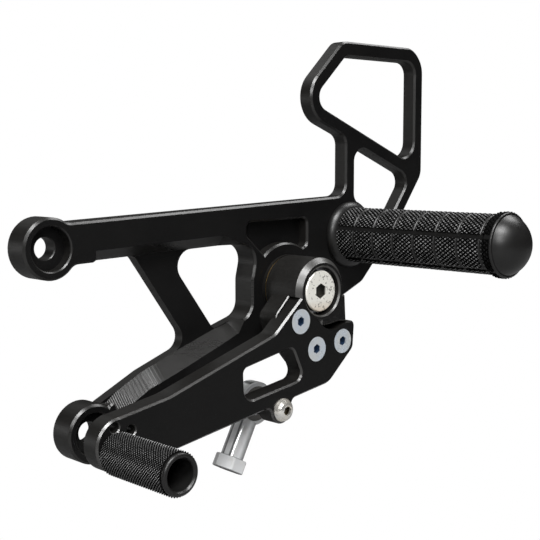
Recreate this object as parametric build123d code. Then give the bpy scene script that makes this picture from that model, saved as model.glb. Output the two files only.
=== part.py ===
from build123d import *
import math
import os

# Left-hand racing rearset: a billet bracket with heel guard, a fixed knurled foot peg,
# and a shift lever that turns on sealed bearings and carries a rod end for the shift rod.
# Millimetres. Origin: axis of the upper fixing bore, on the inboard face of the bracket.
# +X points to the rear of the motorcycle, -Y outboard (to the rider's left foot), +Z up.
# Outlines are given as (x, z, corner radius) in the XZ plane.

# ---- Bracket
PLATE_THICK = 12.0          # full thickness of the billet, inboard face at y = 0
GUARD_BACK_Y = -4.5         # inboard face of the heel guard
WEB_FRONT_Y = -5.3          # outboard face of the thin strut between bar and lower arm
FACE_Y = -PLATE_THICK       # outboard face of the bracket
EDGE_CHAMFER = 0.9
GUARD_FOOT_R = 6.5          # fillet where the guard rises from the bar
BOSS_R = 12.5
LOWER_BOSS = (18.7, -77.1)
FIXING_BORE_R = 4.5         # clears an M8 screw
COUNTERBORE_R = 9.0
COUNTERBORE_DEPTH = 5.2
RAMP_START_X = 20.0         # the bar's inboard face slopes outboard from here
RAMP_END_X = 168.0
POCKET_DEPTH = 5.5
FINE_BEVEL = 0.4             # broken edges of small turned features

# ---- Foot peg
PEG = (169.9, -2.2)         # axis of the foot peg
PEG_BOSS_R = 17.0
PEG_R = 13.5                # over the treads
PEG_CORE_R = 12.75          # bottom of the grooves
PEG_FLANGE_R = 16.2
PEG_FLANGE_LENGTH = 4.0
PEG_RIM_R = 14.7
PEG_FLARE_Y = -101.4        # the outer rim swells out from here
PEG_RIM_Y = -103.0          # and has its full radius from here
PEG_GRIP_END_Y = -107.0
PEG_TIP_Y = -115.5
PEG_DOME_R = 13.3
RING_GROOVES = 7
RING_FIRST_Y = -27.1
RING_PITCH = 12.2
RING_WIDTH = 1.7
SLOTS = 5                   # grooves along the grip
SLOT_ANGLE = 162.0          # of the first, round the peg from +X towards +Z
SLOT_WIDTH = 2.4
PEG_HOLLOW_R = 8.0
PEG_HOLLOW_FROM_Y = -48.0
PEG_SPIGOT_LENGTH = 12.0      # of the end cap, inside the grip
M8_R = 4.0
PEG_BOLT_HEAD_R = 6.5
PEG_BOLT_HEAD_Y = -0.3
PEG_BOLT_SEAT_Y = -5.3
PEG_BOLT_END_Y = -36.0
PEG_BOLT_HEX = 5.0
PEG_BOLT_HEX_DEPTH = 3.0
DOWEL_R = 2.0
DOWEL_OFFSET = 11.0           # below the peg's axis
DOWEL_HOLE_DEPTH = 6.0        # on each side of the joint face

# ---- Shift lever pivot
PIVOT = (126.9, -25.0)
PIVOT_LAND_R = 21.0         # flat land left round the pivot by the pocket
PIVOT_BOSS_R = 15.4
PIVOT_BOSS_Y = -13.7
PIVOT_SHANK_R = 4.98
PIVOT_HEAD_R = 9.5
PIVOT_HEAD_Y = (-31.9, -34.9)
PIVOT_HEX = 6.35
PIVOT_HEX_DEPTH = 2.4
PIVOT_BOLT_END_Y = -0.5
BEARING_BORE_R = 5.0
BEARING_OUTER_R = 11.0
BEARING_WIDTH = 6.0
BALL_R = 1.588
BALL_PITCH_R = 8.0
BALLS = 11
RACE_GROOVE_R = 1.65
INNER_RACE_R = 6.6
OUTER_RACE_R = 9.4
BEARING_FACES = {"outboard": -25.4, "inboard": -14.3}   # inboard face of each bearing
SHIELD_THICK = 0.3
SHIELD_SET_IN = 0.3
CAGE_R = (7.5, 8.5)
CAGE_WIDTH = 4.4
SHIM_R = 6.5                 # head shim and bearing spacer
SHIM_THICK = 0.5
WASHER_R = 15.0

# ---- Shift hub and arm
ARM_FRONT_Y = -36.0
ARM_BACK_Y = -27.0
TAB_BACK_Y = -18.0
HUB_END_Y = -14.35
HUB_R = 15.3
HUB_CHAMFER = 2.3
TAB_FRONT_Y = -29.5         # the tab is let into the back of the arm
HUB_WALL_R = 12.4           # thin wall round the bearing, beside the first arm screw
SEAT_GAP = 0.12
ARM_SCREWS = [(113.1, -37.5), (123.3, -51.2), (140.4, -49.4)]
CSK_HEAD_R = 5.65           # M6 countersunk
M6_R = 3.0
ARM_CHAMFER = 0.8
ARM_SCREW_HEX = 4.0
ARM_SCREW_HEX_DEPTH = 2.4
M6_CLEARANCE = 0.1
THREAD_GAP = 0.03
SCREW_END_Y = -20.0

# ---- Toe peg
TOE = (13.0, -79.1)
TOE_R = 8.75                # over the knurl
TOE_RING_R = 8.25           # smooth ring at the open end
TOE_RING_LENGTH = 1.8
TOE_END_Y = -75.9
TOE_BORE_R = 6.0
TOE_BORE_FROM_Y = -48.0
TOE_BOLT_END_Y = -46.0
SPARE_HOLES = [(11.8, -68.7), (19.6, -71.0)]   # small countersunk holes above the toe peg
SPARE_HOLE_R = 2.1

# ---- Shift rod linkage
LINK = (101.6, -76.0)
ROD_END_Y = -15.6
ROD_END_TILT = 27.9         # degrees the shank leans forward from straight down
EYE_R = 10.0
EYE_WIDTH = 6.75
LINER_R = 8.0
LINER_WIDTH = 6.2
ROD_BALL_R = 6.35
ROD_BALL_WIDTH = 9.0
SHANK_R = 5.25
COLLAR_R = 7.4
COLLAR_HEX = 13.2
COLLAR_LENGTH = 6.0
ROD_END_LENGTH = 32.4
ROD_THREAD_DEPTH = 13.0
SPACER_R = 4.5
NUT_HEX = 10.0
NUT_HEIGHT = 5.0
NUT_COLLAR_R = 4.6
NUT_COLLAR_HEIGHT = 1.6
NUT_RING_R = 4.0
LINK_BOLT_END_Y = -5.4
BUTTON_HEX = 4.0
BUTTON_HEX_DEPTH = 2.0

JOINT_GAP = 0.02            # radial play of the sliding fits


def rounded(*corners):
    """Face with a rounded outline from (x, z, radius) corners."""
    points = [(x, z) for x, z, radius in corners]
    radii = [radius for x, z, radius in corners]
    return make_face(FilletPolyline(*points, radius=radii, close=True))


def disc(centre, radius):
    return Pos(*centre) * Circle(radius)


def slab(profile, inboard_y, outboard_y):
    """Solid of an XZ profile between two planes square to Y."""
    placed = Pos(0, inboard_y, 0) * (Plane.XZ * profile)
    return extrude(placed, amount=inboard_y - outboard_y)


def turned(centre, *outline):
    """Solid of revolution about Y from (radius, y) points."""
    face = make_face(Polyline(*outline, close=True))
    return Pos(centre[0], 0, centre[1]) * revolve(face, Axis.Y)


def rod(centre, radius, inboard_y, outboard_y):
    return slab(disc(centre, radius), inboard_y, outboard_y)


def hexagon(centre, across_flats, turn=0.0):
    return Pos(*centre) * Rot(0, 0, turn) * RegularPolygon(across_flats / 2, 6, major_radius=False)


def soften(sketch, place, radius):
    """Round the one corner of a sketch that lies nearest to place."""
    corner = sketch.vertices().sort_by_distance((place[0], place[1], 0))[0]
    return fillet(corner, radius)


def front_edges(solid, y):
    """Edges of the largest flat face of a solid that lies at y."""
    level = [f for f in solid.faces() if abs(f.center().Y - y) < 1e-3 and abs(f.normal_at().Y) > 0.999]
    return max(level, key=lambda f: f.area).edges()


# ---------------------------------------------------------------- bracket

def bar_underside(x):
    return -6.6 + 0.0373 * (x - 17.2)


def plate_profile():
    """Bar, strut, lower arm and pivot plate, with the bosses merged in."""
    plate = make_face(Polyline(
        (0, 9.55), (174.3, 17.24), (174.3, 4.0), (186.0, -4.0), (200.5, -6.4), (180.8, -26.4),
        (136.2, -45.6), (126.0, -46.7), (23.3, -88.0), LOWER_BOSS, (25.8, -66.2), (47.1, -55.9),
        (73.4, -46.3), (44.0, bar_underside(44.0)), (0, bar_underside(0)), close=True))
    plate = soften(plate, (73.4, -46.3), 6.5)
    plate = soften(plate, (44.0, bar_underside(44.0)), 3.5)
    plate = soften(plate, (180.8, -26.4), 8.0)
    plate += disc((0, 0), BOSS_R) + disc(LOWER_BOSS, BOSS_R)
    plate += disc(PIVOT, 22.0) + disc(PEG, PEG_BOSS_R)
    plate = soften(plate, (9.5, -8.0), 5.0)
    plate = soften(plate, (8.5, 9.4), 5.0)
    return plate


def strut_window():
    return rounded((60.4, -5.0, 7.5), (109.3, -3.2, 8.0), (105.4, -20.0, 12.0),
                   (105.4, -36.1, 8.0), (87.4, -41.66, 2.5))


def guard_profile():
    """Heel guard: a frame of bars about 7 wide, with two windows."""
    frame = rounded((167.5, 2.0, 0), (167.5, 45.9, 6.0), (131.9, 59.55, 13.7), (165.1, 92.0, 8.0),
                    (226.2, 92.0, 13.0), (226.2, 26.6, 10.0), (204.9, -2.1, 10.0),
                    (190.0, -17.1, 0), (175.0, -17.1, 0))
    upper = rounded((144.2, 62.3, 6.7), (167.5, 84.7, 5.0), (219.4, 84.7, 6.3), (219.4, 31.9, 8.2))
    lower = make_face(Polyline((174.3, 42.7), (216.9, 25.5), (196.0, -2.7), (174.3, -2.7), close=True))
    lower -= disc(PEG, PEG_BOSS_R)
    lower = soften(lower, (174.3, 14.2), 6.0)
    lower = soften(lower, (174.3, 42.7), 6.0)
    lower = soften(lower, (216.9, 25.5), 6.2)
    lower = soften(lower, (196.0, -2.7), 3.2)
    return frame - upper - lower


def pocket_profile():
    """Blind pocket between the bar and the round land about the pivot."""
    pocket = make_face(Polyline((102.4, 6.3), (102.4, 0.4), (114.6, -10.4), (140.6, -12.0),
                                (140.6, 7.0), close=True))
    pocket -= disc(PIVOT, PIVOT_LAND_R)
    for corner in [(102.4, 6.3), (102.4, 0.4), (140.6, 7.0), (140.6, -9.0)]:
        pocket = soften(pocket, corner, 2.6)
    return pocket


def bevel_cutter():
    """Clears the strut down to its web and slopes the bar and lower arm towards it.
    Each pair is a corner at the web and the same corner at the outboard face."""
    pairs = [((14.5, -6.9), (20.5, -1.8)), ((90.0, -3.8), (88.5, 1.2)), ((98.5, -5.5), (99.8, -3.6)),
             ((98.5, -37.5), (100.5, -38.3)), ((95.7, -39.6), (97.1, -43.7)),
             ((88.0, -41.5), (88.7, -47.1)), ((64.0, -49.7), (60.1, -57.8)),
             ((47.1, -55.9), (46.6, -62.3)), ((34.0, -62.4), (39.3, -66.2)),
             ((27.0, -67.5), (31.0, -71.5)), ((14.5, -50.0), (20.5, -50.0))]
    overrun = 1.0
    reach = 1 + overrun / (WEB_FRONT_Y - FACE_Y)
    inner = [(x, WEB_FRONT_Y, z) for (x, z), outer_point in pairs]
    outer = [(x + (u - x) * reach, FACE_Y - overrun, z + (v - z) * reach) for (x, z), (u, v) in pairs]
    faces = [make_face(Polyline(*inner, close=True)), make_face(Polyline(*outer, close=True))]
    return loft(faces, ruled=True)


def fixing_boss(centre):
    return turned(centre, (0, 0), (BOSS_R, 0), (BOSS_R, FACE_Y + EDGE_CHAMFER),
                  (BOSS_R - EDGE_CHAMFER, FACE_Y), (0, FACE_Y))


def fixing_bore(centre):
    """Screw hole with a counterbore from outboard, both with a broken edge."""
    floor_y = FACE_Y + COUNTERBORE_DEPTH
    return turned(centre, (0, 1), (FIXING_BORE_R, 1), (FIXING_BORE_R, floor_y + FINE_BEVEL),
                  (FIXING_BORE_R + FINE_BEVEL, floor_y), (COUNTERBORE_R, floor_y),
                  (COUNTERBORE_R, FACE_Y + 0.5), (COUNTERBORE_R + 1.5, FACE_Y - 1), (0, FACE_Y - 1))


def inboard_ramp():
    """Wedge taken off the inboard face of the bar, growing towards the heel guard."""
    depth = -GUARD_BACK_Y
    wedge = make_face(Polyline((RAMP_START_X, 0), (RAMP_END_X, -depth), (RAMP_END_X + 20, -depth),
                               (RAMP_END_X + 20, 1), (RAMP_START_X, 1), close=True))
    return Pos(0, 0, 0.5) * extrude(wedge, amount=30)


def dowel_place():
    return (PEG[0], PEG[1] - DOWEL_OFFSET)


def pivot_boss():
    """Low raised pad that the thrust washer bears on."""
    return turned(PIVOT, (0, FACE_Y + 1), (PIVOT_BOSS_R, FACE_Y + 1), (PIVOT_BOSS_R, PIVOT_BOSS_Y),
                  (0, PIVOT_BOSS_Y))


def peg_bolt_hole():
    head_r = PEG_BOLT_HEAD_R + FINE_BEVEL
    shank_r = M8_R + 0.2
    return turned(PEG, (0, 1), (head_r, 1), (head_r, PEG_BOLT_SEAT_Y), (shank_r, PEG_BOLT_SEAT_Y),
                  (shank_r, FACE_Y - 1), (0, FACE_Y - 1))


def bracket():
    body = slab(plate_profile(), 0, FACE_Y)
    body -= inboard_ramp()
    outline = soften(plate_profile() + guard_profile(), (167.5, 16.9), GUARD_FOOT_R)
    body += slab(outline, GUARD_BACK_Y, FACE_Y)
    body -= slab(strut_window(), 1, FACE_Y - 1)
    body -= slab(pocket_profile(), FACE_Y + POCKET_DEPTH, FACE_Y - 1)
    body = chamfer(front_edges(body, FACE_Y), EDGE_CHAMFER)
    body -= bevel_cutter()
    body += fixing_boss((0, 0)) + fixing_boss(LOWER_BOSS)
    body += rod(PEG, PEG_BOSS_R, 0, FACE_Y)
    body += pivot_boss()
    body -= fixing_bore((0, 0)) + fixing_bore(LOWER_BOSS)
    body -= rod(PIVOT, PIVOT_SHANK_R + JOINT_GAP, 1, PIVOT_BOSS_Y - 1)
    body -= peg_bolt_hole()
    body -= rod(dowel_place(), DOWEL_R + JOINT_GAP, FACE_Y + DOWEL_HOLE_DEPTH, FACE_Y - 1)
    return body


# ---------------------------------------------------------------- foot peg

def foot_peg_grip():
    """Turned grip with a rounded flange, ring grooves and a flared outer rim."""
    flange = FACE_Y - PEG_FLANGE_LENGTH
    grip = turned(PEG, (0, FACE_Y), (PEG_FLANGE_R - 0.6, FACE_Y), (PEG_FLANGE_R, FACE_Y - 0.6),
                  (PEG_FLANGE_R - 0.4, FACE_Y - 1.8), (PEG_FLANGE_R - 1.3, FACE_Y - 3.0),
                  (PEG_R - 0.3, flange), (PEG_R, flange - 0.4), (PEG_R, PEG_FLARE_Y),
                  (PEG_RIM_R, PEG_RIM_Y), (PEG_RIM_R, PEG_GRIP_END_Y + 0.8),
                  (PEG_RIM_R - 0.8, PEG_GRIP_END_Y), (0, PEG_GRIP_END_Y))
    for ring in range(RING_GROOVES):
        inner_y = RING_FIRST_Y - ring * RING_PITCH + RING_WIDTH / 2
        groove = disc(PEG, PEG_R + 1) - disc(PEG, PEG_CORE_R)
        grip -= slab(groove, inner_y, inner_y - RING_WIDTH)
    for slot in range(SLOTS):
        turn = SLOT_ANGLE + slot * 360 / SLOTS
        bar = Pos(*PEG) * Rot(0, 0, turn) * Pos(PEG_RIM_R, 0) * Rectangle(6, SLOT_WIDTH)
        grip -= slab(bar - disc(PEG, PEG_CORE_R), flange - FINE_BEVEL, PEG_GRIP_END_Y - 1)
    grip -= rod(PEG, M8_R + THREAD_GAP, FACE_Y + 1, PEG_HOLLOW_FROM_Y + 6)
    grip -= rod(PEG, PEG_HOLLOW_R, PEG_HOLLOW_FROM_Y, PEG_GRIP_END_Y - 1)
    grip -= rod(dowel_place(), DOWEL_R + JOINT_GAP, FACE_Y + 1, FACE_Y - DOWEL_HOLE_DEPTH)
    return grip


def foot_peg_end_cap():
    """Domed plug pressed into the hollow end of the grip."""
    base_y = PEG_GRIP_END_Y
    dome_height = base_y - PEG_TIP_Y
    dome_r = (PEG_DOME_R ** 2 + dome_height ** 2) / (2 * dome_height)
    half_angle = math.asin(PEG_DOME_R / dome_r) / 2
    middle = (dome_r * math.sin(half_angle), PEG_TIP_Y + dome_r * (1 - math.cos(half_angle)))
    line = ThreePointArc((PEG_DOME_R, base_y), middle, (0, PEG_TIP_Y))
    spigot_r = PEG_HOLLOW_R - JOINT_GAP
    spigot_y = base_y + PEG_SPIGOT_LENGTH
    spigot = Polyline((0, PEG_TIP_Y), (0, spigot_y), (spigot_r - FINE_BEVEL, spigot_y),
                      (spigot_r, spigot_y - FINE_BEVEL), (spigot_r, base_y), (PEG_DOME_R, base_y))
    return Pos(PEG[0], 0, PEG[1]) * revolve(make_face(line + spigot), Axis.Y)


def foot_peg_bolt():
    """Cylinder-head screw that holds the grip from inboard."""
    screw = turned(PEG, (0, PEG_BOLT_HEAD_Y), (PEG_BOLT_HEAD_R - FINE_BEVEL, PEG_BOLT_HEAD_Y),
                   (PEG_BOLT_HEAD_R, PEG_BOLT_HEAD_Y - FINE_BEVEL), (PEG_BOLT_HEAD_R, PEG_BOLT_SEAT_Y),
                   (M8_R, PEG_BOLT_SEAT_Y), (M8_R, PEG_BOLT_END_Y + FINE_BEVEL),
                   (M8_R - FINE_BEVEL, PEG_BOLT_END_Y), (0, PEG_BOLT_END_Y))
    socket = hexagon(PEG, PEG_BOLT_HEX)
    return screw - slab(socket, PEG_BOLT_HEAD_Y, PEG_BOLT_HEAD_Y - PEG_BOLT_HEX_DEPTH)


def foot_peg_dowel():
    reach = DOWEL_HOLE_DEPTH - 0.2
    return rod(dowel_place(), DOWEL_R, FACE_Y + reach, FACE_Y - reach)


# ---------------------------------------------------------------- pivot

def pivot_bolt():
    """Large flat-headed pivot screw that threads into the bracket."""
    under, top = PIVOT_HEAD_Y
    bolt = turned(PIVOT, (0, top), (PIVOT_HEAD_R - 0.5, top), (PIVOT_HEAD_R, top + 0.5),
                  (PIVOT_HEAD_R, under), (PIVOT_SHANK_R, under), (PIVOT_SHANK_R, PIVOT_BOLT_END_Y - 1),
                  (PIVOT_SHANK_R - 1, PIVOT_BOLT_END_Y), (0, PIVOT_BOLT_END_Y))
    return bolt - slab(hexagon(PIVOT, PIVOT_HEX, 30), top + PIVOT_HEX_DEPTH, top)


def pivot_ring(outer_r, inboard_y, outboard_y):
    """Plain ring on the pivot shank."""
    return slab(disc(PIVOT, outer_r) - disc(PIVOT, BEARING_BORE_R), inboard_y, outboard_y)


def pivot_head_shim():
    under = PIVOT_HEAD_Y[0]
    return pivot_ring(SHIM_R, under + SHIM_THICK, under)


def pivot_thrust_washer():
    return pivot_ring(WASHER_R, PIVOT_BOSS_Y, BEARING_FACES["inboard"])


def bearing_spacer():
    return pivot_ring(SHIM_R, BEARING_FACES["inboard"] - BEARING_WIDTH, BEARING_FACES["outboard"])


def bearing(inboard_face):
    """The five pieces of one sealed ball bearing, by name."""
    outboard_face = inboard_face - BEARING_WIDTH
    middle = inboard_face - BEARING_WIDTH / 2
    centre = Pos(PIVOT[0], middle, PIVOT[1])
    track = centre * Rot(90, 0, 0) * Torus(BALL_PITCH_R, RACE_GROOVE_R)
    inner = rod(PIVOT, INNER_RACE_R, inboard_face, outboard_face)
    inner -= rod(PIVOT, BEARING_BORE_R, inboard_face + 1, outboard_face - 1)
    outer = rod(PIVOT, BEARING_OUTER_R - JOINT_GAP, inboard_face, outboard_face)
    outer -= rod(PIVOT, OUTER_RACE_R, inboard_face + 1, outboard_face - 1)
    cage_ring = disc(PIVOT, CAGE_R[1]) - disc(PIVOT, CAGE_R[0])
    cage = slab(cage_ring, middle + CAGE_WIDTH / 2, middle - CAGE_WIDTH / 2)
    balls = []
    for number in range(BALLS):
        place = centre * Rot(0, 360 / BALLS * number, 0) * Pos(BALL_PITCH_R, 0, 0)
        balls.append(place * Sphere(BALL_R))
        cage -= place * Rot(0, 90, 0) * Cylinder(BALL_R + 0.08, 4)
    shields = []
    ring = disc(PIVOT, OUTER_RACE_R - JOINT_GAP) - disc(PIVOT, INNER_RACE_R + 0.1)
    for face_y in (inboard_face - SHIELD_SET_IN, outboard_face + SHIELD_SET_IN + SHIELD_THICK):
        shields.append(slab(ring, face_y, face_y - SHIELD_THICK))
    return {"outer_race": outer - track, "inner_race": inner - track, "cage": cage,
            "balls": Compound(children=balls), "shields": Compound(children=shields)}


# ---------------------------------------------------------------- shift lever

def hub_corner():
    """Square lower corner of the hub's front boss."""
    return make_face(Polyline(PIVOT, (142.2, -28.0), (143.0, -40.2), (138.4, -39.8), (126.0, -41.3),
                              close=True))


def tab_outline():
    """Tab behind the arm, which the three arm screws thread into."""
    return rounded((114.5, -23.4, 0), (103.0, -35.2, 4.0), (105.8, -43.4, 4.0), (122.4, -62.0, 8.0),
                   (148.8, -55.2, 7.0), (147.4, -40.5, 4.0), (142.0, -25.0, 0))


def arm_overlap_zone():
    """Where the arm wraps under the hub, which is cut back to a thin wall round the bearing."""
    zone = make_face(Polyline((90, -26.2), (110.6, -26.2), (115.4, -27.6), (123.2, -37.0), (127.6, -41.4),
                              (127.6, -60), (90, -60), close=True))
    return zone - disc(PIVOT, HUB_WALL_R)


def arm_seat_profile():
    """Seat for the hub's front boss, open in a wedge under its lower corner."""
    wedge = make_face(Polyline((127.6, -41.0), (129.1, -42.2), (133.6, -43.6), (136.9, -43.3),
                               (143.8, -40.4), (143.8, -39.0), (127.6, -39.0), close=True))
    return offset(disc(PIVOT, HUB_R) + hub_corner() - arm_overlap_zone(), SEAT_GAP) + wedge


def shift_hub():
    """Hub with a front boss that fills the arm's seat, and a tab behind the arm."""
    front = rod(PIVOT, HUB_R, ARM_BACK_Y, ARM_FRONT_Y)
    hub = chamfer(front_edges(front, ARM_FRONT_Y), HUB_CHAMFER)
    corner = slab(hub_corner(), ARM_BACK_Y, ARM_FRONT_Y)
    hub += chamfer(front_edges(corner, ARM_FRONT_Y), ARM_CHAMFER)
    hub -= slab(arm_overlap_zone(), ARM_BACK_Y, ARM_FRONT_Y - 1)
    hub += rod(PIVOT, HUB_R, HUB_END_Y, ARM_BACK_Y)
    tab = slab(tab_outline(), TAB_BACK_Y, TAB_FRONT_Y)
    tab = chamfer(front_edges(tab, TAB_BACK_Y), ARM_CHAMFER)
    hub += chamfer(front_edges(tab, TAB_FRONT_Y), FINE_BEVEL)
    shoulder_in = BEARING_FACES["inboard"] - BEARING_WIDTH
    shoulder_out = BEARING_FACES["outboard"]
    hub -= turned(PIVOT, (0, ARM_FRONT_Y - 1), (BEARING_OUTER_R + 1.8, ARM_FRONT_Y - 1),
                  (BEARING_OUTER_R + 0.1, ARM_FRONT_Y + 0.7), (BEARING_OUTER_R, ARM_FRONT_Y + 1.7),
                  (BEARING_OUTER_R, shoulder_out), (OUTER_RACE_R, shoulder_out),
                  (OUTER_RACE_R, shoulder_in), (BEARING_OUTER_R, shoulder_in),
                  (BEARING_OUTER_R, HUB_END_Y + 1), (0, HUB_END_Y + 1))
    for place in ARM_SCREWS:
        hub -= rod(place, M6_R + THREAD_GAP, TAB_BACK_Y + 1, TAB_FRONT_Y - 1)
    return hub


def arm_profile():
    """Lever arm from the hub to the toe peg, with an ear for the shift rod and a slot."""
    arm = rounded((116.0, -24.7, 0), (97.0, -41.7, 8.0), (38.8, -60.6, 25.0), (14.5, -64.9, 0),
                  (14.5, -76.2, 0), (16.4, -87.3, 0), (131.9, -67.8, 10.0), (147.9, -53.4, 4.5),
                  (148.9, -40.4, 2.6), (130.0, -40.4, 0), PIVOT + (0,))
    arm += disc((14.5, -76.2), 11.3)
    arm += disc(LINK, 6.3)
    arm = soften(arm, (96.3, -73.8), 3.0)
    arm = soften(arm, (107.4, -71.9), 3.0)
    return arm - rounded((78.9, -54.6, 3.0), (108.1, -48.6, 3.5), (115.2, -63.7, 4.0), (79.5, -69.6, 5.0))


def countersunk(centre, gap=0.0):
    """Countersunk head and shank outline shared by the screw and its hole."""
    head = CSK_HEAD_R + gap
    shank = M6_R + gap
    return [(0, ARM_FRONT_Y), (head, ARM_FRONT_Y), (head, ARM_FRONT_Y + 0.3),
            (shank, ARM_FRONT_Y + 0.3 + head - shank)]


def shift_arm():
    arm = slab(arm_profile(), ARM_BACK_Y, ARM_FRONT_Y)
    arm = chamfer(front_edges(arm, ARM_FRONT_Y), ARM_CHAMFER)
    arm -= slab(arm_seat_profile(), ARM_BACK_Y + 1, ARM_FRONT_Y - 1)
    arm -= slab(offset(tab_outline(), SEAT_GAP), ARM_BACK_Y + 1, TAB_FRONT_Y - JOINT_GAP)
    for place in ARM_SCREWS:
        hole = countersunk(place, THREAD_GAP) + [(M6_R + THREAD_GAP, ARM_BACK_Y + 1), (0, ARM_BACK_Y + 1)]
        arm -= turned(place, *hole)
    for place in (LINK, TOE):
        arm -= rod(place, M6_R + M6_CLEARANCE, ARM_BACK_Y + 1, ARM_FRONT_Y - 1)
    for place in SPARE_HOLES:
        arm -= turned(place, (0, ARM_FRONT_Y - 1), (SPARE_HOLE_R + 1.5, ARM_FRONT_Y - 1),
                      (SPARE_HOLE_R, ARM_FRONT_Y + 0.5), (SPARE_HOLE_R, ARM_BACK_Y + 1),
                      (0, ARM_BACK_Y + 1))
    return arm


def shift_arm_screws():
    screws = []
    for place in ARM_SCREWS:
        outline = countersunk(place) + [(M6_R, SCREW_END_Y - FINE_BEVEL),
                                        (M6_R - FINE_BEVEL, SCREW_END_Y), (0, SCREW_END_Y)]
        screw = turned(place, *outline)
        socket = hexagon(place, ARM_SCREW_HEX, 30)
        screws.append(screw - slab(socket, ARM_FRONT_Y + ARM_SCREW_HEX_DEPTH, ARM_FRONT_Y))
    return Compound(children=screws)


def toe_peg():
    ring_y = TOE_END_Y + TOE_RING_LENGTH
    peg = turned(TOE, (0, ARM_FRONT_Y), (TOE_R - 0.5, ARM_FRONT_Y), (TOE_R, ARM_FRONT_Y - 0.5),
                 (TOE_R, ring_y + 0.5), (TOE_RING_R, ring_y), (TOE_RING_R, TOE_END_Y + 0.6),
                 (TOE_RING_R - 0.6, TOE_END_Y), (0, TOE_END_Y))
    peg -= rod(TOE, M6_R + THREAD_GAP, ARM_FRONT_Y + 1, TOE_BORE_FROM_Y + 2)
    peg -= turned(TOE, (0, TOE_BORE_FROM_Y), (TOE_BORE_R, TOE_BORE_FROM_Y), (TOE_BORE_R, TOE_END_Y + 0.6),
                  (TOE_BORE_R + 1.6, TOE_END_Y - 1), (0, TOE_END_Y - 1))
    return peg


def button_screw(centre, base_y, side, end_y):
    """Button-head M6 screw; side is -1 where the head faces outboard."""
    head_height = 3.3
    dome = [(5.25, base_y), (5.25, base_y + side * 0.6), (4.7, base_y + side * 1.9),
            (3.6, base_y + side * 2.9), (2.6, base_y + side * head_height), (0, base_y + side * head_height)]
    shank = [(0, end_y), (M6_R - 0.5, end_y), (M6_R, end_y + side * 0.5), (M6_R, base_y)]
    top = base_y + side * head_height
    floor_y = top - side * BUTTON_HEX_DEPTH
    socket = slab(hexagon(centre, BUTTON_HEX, 15), max(top, floor_y), min(top, floor_y))
    return turned(centre, *dome, *shank) - socket


def toe_peg_bolt():
    return button_screw(TOE, ARM_BACK_Y, 1, TOE_BOLT_END_Y)


# ---------------------------------------------------------------- shift rod linkage

def linkage_bolt():
    return button_screw(LINK, ARM_FRONT_Y, -1, LINK_BOLT_END_Y)


def ball_face(side):
    """Flat face of the rod end's ball; side is 1 for inboard and -1 for outboard."""
    return ROD_END_Y + side * ROD_BALL_WIDTH / 2


def linkage_spacer():
    outboard = ball_face(-1)
    bore_r = M6_R + M6_CLEARANCE
    return turned(LINK, (bore_r, outboard), (SPACER_R - FINE_BEVEL, outboard),
                  (SPACER_R, outboard - FINE_BEVEL), (SPACER_R, ARM_BACK_Y), (bore_r, ARM_BACK_Y))


def linkage_nut():
    """Lock nut with a collar that holds its nylon ring."""
    inboard = ball_face(1)
    collar_y = inboard + NUT_HEIGHT
    shoulder_y = collar_y - NUT_COLLAR_HEIGHT
    nut = slab(hexagon(LINK, NUT_HEX, 12), shoulder_y, inboard)
    nut = nut & turned(LINK, (0, inboard), (5.2, inboard), (6.2, inboard + 0.8), (6.2, shoulder_y - 0.4),
                       (5.0, shoulder_y), (0, shoulder_y))
    nut += rod(LINK, NUT_COLLAR_R, collar_y, shoulder_y)
    nut -= rod(LINK, M6_R + THREAD_GAP, collar_y + 1, inboard - 1)
    return nut - rod(LINK, NUT_RING_R, collar_y - 0.3, shoulder_y + 0.1)


def linkage_nut_ring():
    collar_y = ball_face(1) + NUT_HEIGHT
    ring = disc(LINK, NUT_RING_R - JOINT_GAP) - disc(LINK, M6_R + THREAD_GAP)
    return slab(ring, collar_y - 0.32, collar_y - NUT_COLLAR_HEIGHT + 0.12)


def at_link(shape):
    """Place a rod end piece, made about the origin with its shank down, on the linkage bolt."""
    return Pos(LINK[0], ROD_END_Y, LINK[1]) * Rot(0, ROD_END_TILT, 0) * shape


def across(radius, width):
    """Cylinder about Y, centred on the origin."""
    return Rot(90, 0, 0) * Cylinder(radius, width)


def rod_end_ball():
    ball = Sphere(ROD_BALL_R) & across(ROD_BALL_R + 1, ROD_BALL_WIDTH)
    return at_link(ball - across(M6_R + JOINT_GAP, ROD_BALL_WIDTH + 2))


def rod_end_liner():
    ring = across(LINER_R - JOINT_GAP, LINER_WIDTH)
    return at_link(ring - Sphere(ROD_BALL_R + JOINT_GAP))


def rod_end_body():
    """Eye, round shank and hexagon collar, with the shift rod's thread in the end."""
    bevel = 0.5
    eye = chamfer(across(EYE_R, EYE_WIDTH).edges(), bevel)
    upright = (Align.CENTER, Align.CENTER, Align.MIN)
    down = Pos(0, 0, -ROD_END_LENGTH) * Cylinder(SHANK_R, ROD_END_LENGTH - LINER_R - bevel, align=upright)
    collar_hex = extrude(hexagon((0, 0), COLLAR_HEX), amount=COLLAR_LENGTH)
    collar = Cylinder(COLLAR_R, COLLAR_LENGTH, align=upright)
    collar = chamfer(collar.edges(), bevel)
    body = eye + down + Pos(0, 0, -ROD_END_LENGTH) * (collar & collar_hex)
    body -= across(LINER_R, EYE_WIDTH + 2)
    thread = Cylinder(M6_R, ROD_THREAD_DEPTH + 1, align=upright)
    body -= Pos(0, 0, -ROD_END_LENGTH - 1) * thread
    return at_link(body)


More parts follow.
